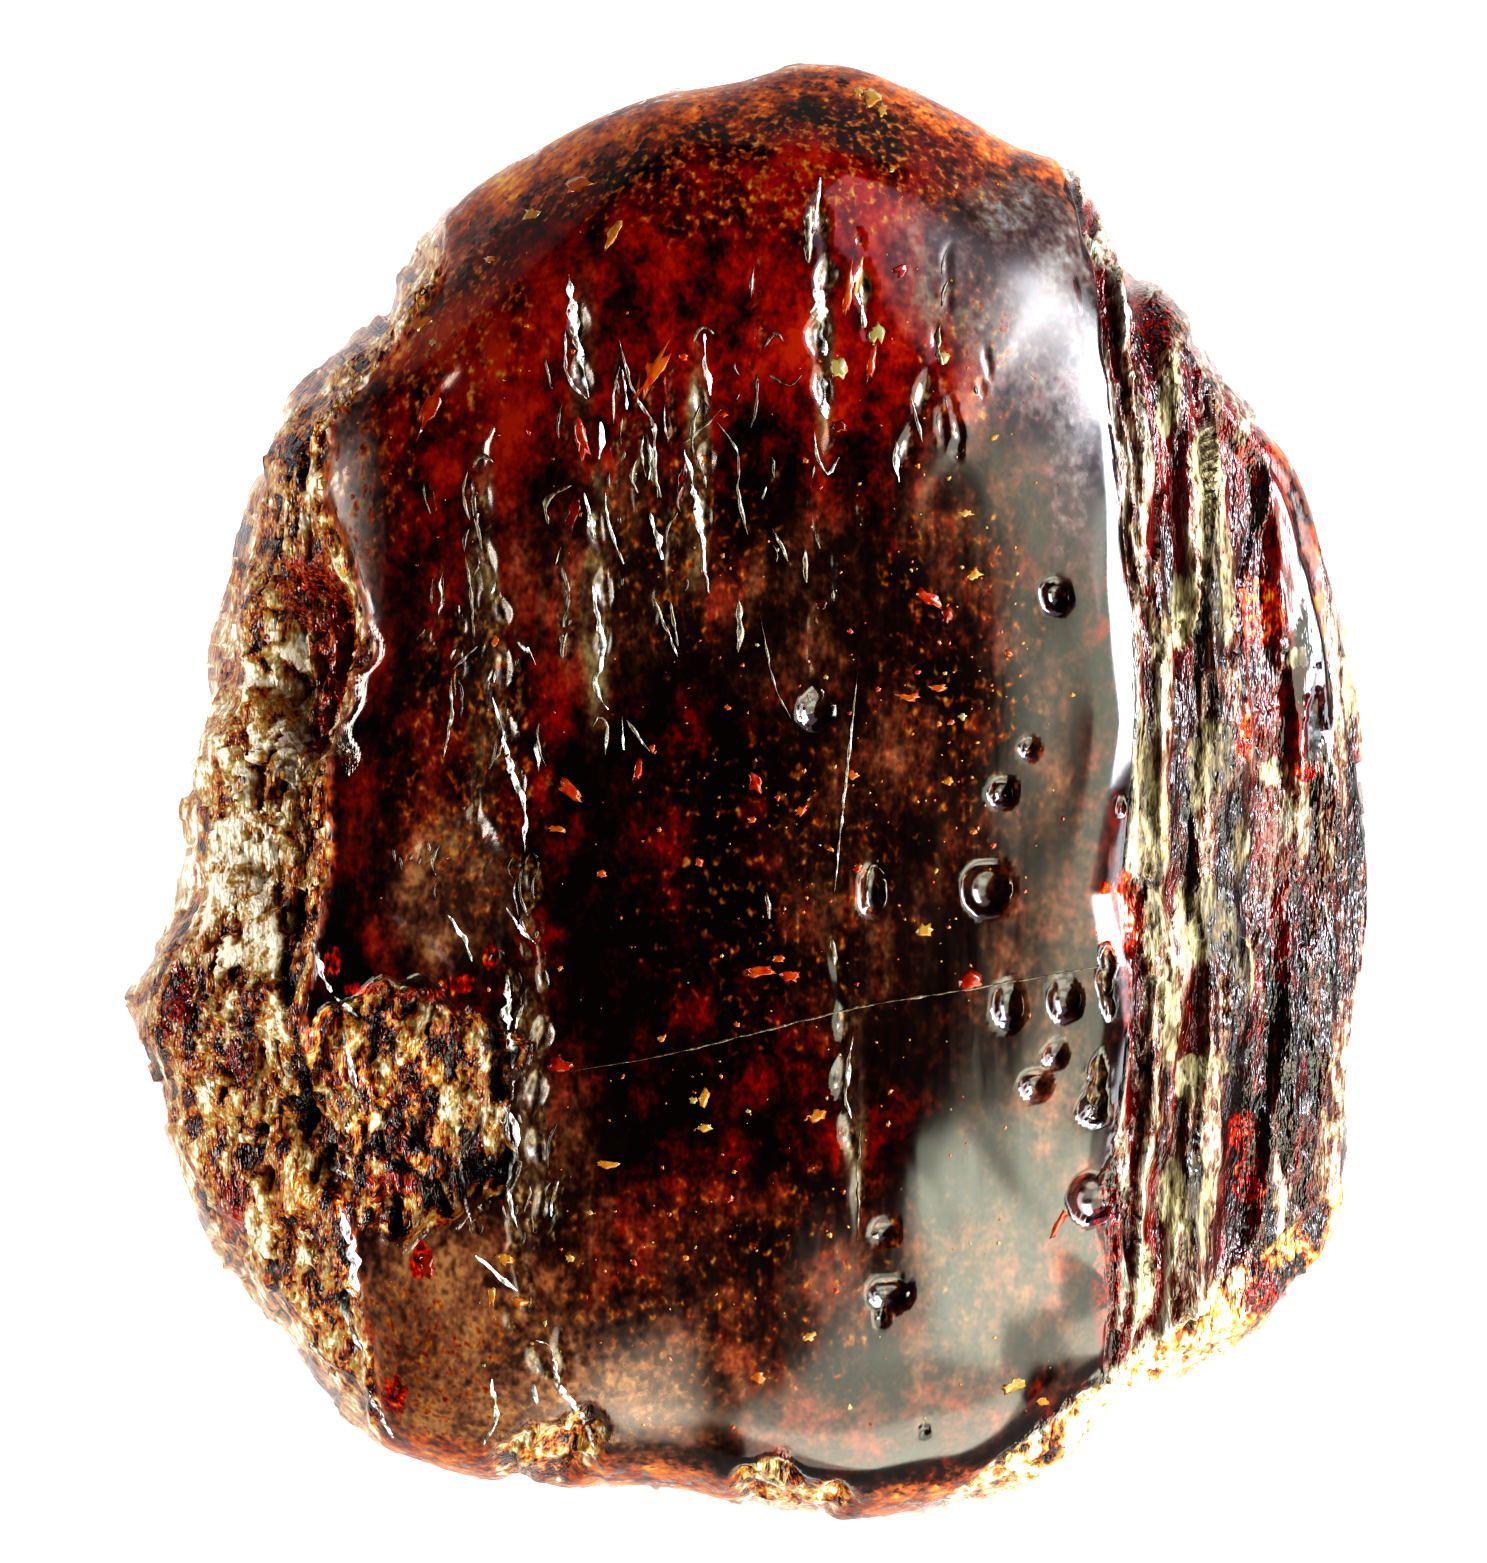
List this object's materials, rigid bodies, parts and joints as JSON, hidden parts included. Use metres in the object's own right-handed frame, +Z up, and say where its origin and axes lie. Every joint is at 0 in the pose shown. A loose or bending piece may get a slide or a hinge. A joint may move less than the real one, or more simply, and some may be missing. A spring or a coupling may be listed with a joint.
{
  "type": "rumanite amber nugget",
  "caption": "Hand-sized dark red amber nugget with a low-domed polished face, a grained flank along one side, a rough crusted flank on the other, and a small flat resting spot.",
  "frame": {"origin": "middle of the footprint, on the surface that the nugget rests on", "axes": "+X to the right of the polished face, +Y towards the nugget's narrow end, +Z up and out of the polished face"},
  "size_m": [0.0815, 0.096, 0.0415],
  "materials": {
    "amber": "clear to hazy dark red resin, polished on the face, with a rough tan and orange crust on the flanks and back"
  },
  "bodies": {
    "root": {"amber_nugget": "amber"}
  },
  "joints": []
}
